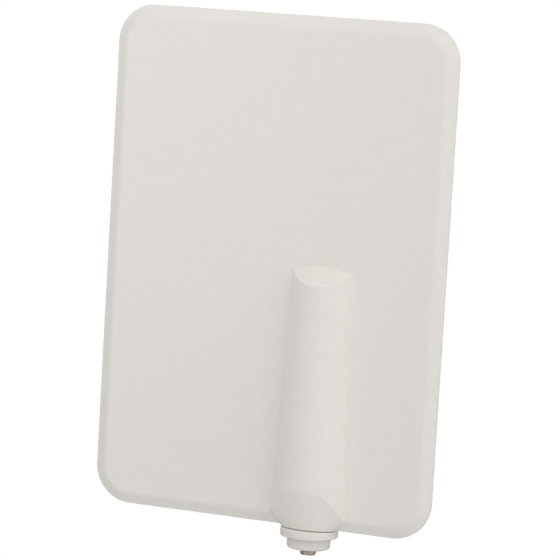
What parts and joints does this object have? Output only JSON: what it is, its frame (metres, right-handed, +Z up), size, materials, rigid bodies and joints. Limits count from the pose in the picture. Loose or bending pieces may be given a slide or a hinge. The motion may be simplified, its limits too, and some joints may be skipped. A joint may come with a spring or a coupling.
{
  "type": "flat indoor tv antenna",
  "caption": "Flat paddle-shaped indoor tv antenna: bevelled round-cornered panel, tapered stem and a coax jack in a stepped spigot that plugs into a base or bracket.",
  "frame": {"origin": "on the stem's axis, at the shoulder where the spigot leaves the collar's flange", "axes": "+Z up along the stem and the panel's height, +X to the right seen from the front, front faces -Y"},
  "size_m": [0.2, 0.0326, 0.2954],
  "materials": {
    "cover_plastic": "off-white moulded plastic, fine satin texture",
    "collar_plastic": "off-white moulded plastic, smoother than the covers",
    "jack_metal": "plated turned brass",
    "steel": "zinc-plated steel",
    "insulator_plastic": "white insulating plastic",
    "sheet_metal": "plain stamped sheet",
    "board_laminate": "green solder mask on laminate",
    "ferrite": "dark sintered ferrite",
    "copper_wire": "enamelled copper wire",
    "capacitor_ceramic": "tan ceramic chip",
    "lead_jacket": "black lead insulation"
  },
  "bodies": {
    "root": {"front_cover": "cover_plastic", "rear_cover": "cover_plastic", "connector_collar": "collar_plastic", "connector_barrel": "jack_metal", "connector_washer": "steel", "connector_nut": "jack_metal", "connector_insulator": "insulator_plastic", "connector_contact": "jack_metal", "left_radiator": "sheet_metal", "right_radiator": "sheet_metal", "matching_board": "board_laminate", "balun_core": "ferrite", "balun_winding": "copper_wire", "board_capacitors": "capacitor_ceramic", "coax_clip": "steel", "left_feed_lead": "lead_jacket", "right_feed_lead": "lead_jacket", "coax_lead": "lead_jacket", "board_screws": "steel", "case_screws": "steel"}
  },
  "joints": []
}
